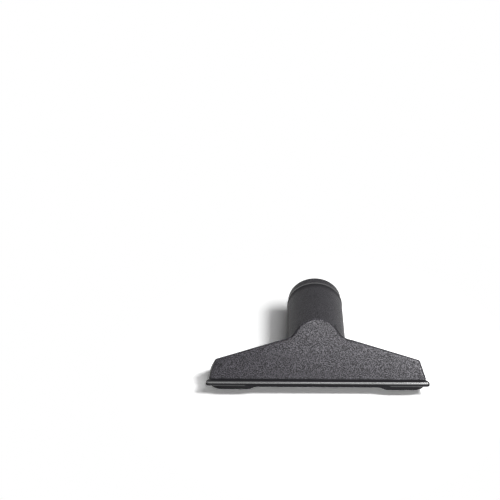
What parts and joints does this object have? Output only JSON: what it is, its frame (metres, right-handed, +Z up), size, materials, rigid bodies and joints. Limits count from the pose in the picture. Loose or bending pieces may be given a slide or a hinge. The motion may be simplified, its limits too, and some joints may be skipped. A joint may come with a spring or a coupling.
{
  "type": "vacuum upholstery nozzle",
  "caption": "Black plastic upholstery nozzle: a wide, shallow suction mouth on a wedge-shaped hollow body, with a round socket tube at the back that pushes onto a vacuum pipe.",
  "frame": {"origin": "middle of the whole part's footprint, on the surface it lies on", "axes": "+X along the mouth, +Y level along the tube's axis towards its open end, +Z up"},
  "size_m": [0.1374, 0.0806, 0.0368],
  "materials": {
    "body": "black, fine spark-eroded grain on the body, smoother on the tube"
  },
  "bodies": {
    "root": {"upholstery_nozzle": "body"}
  },
  "joints": []
}
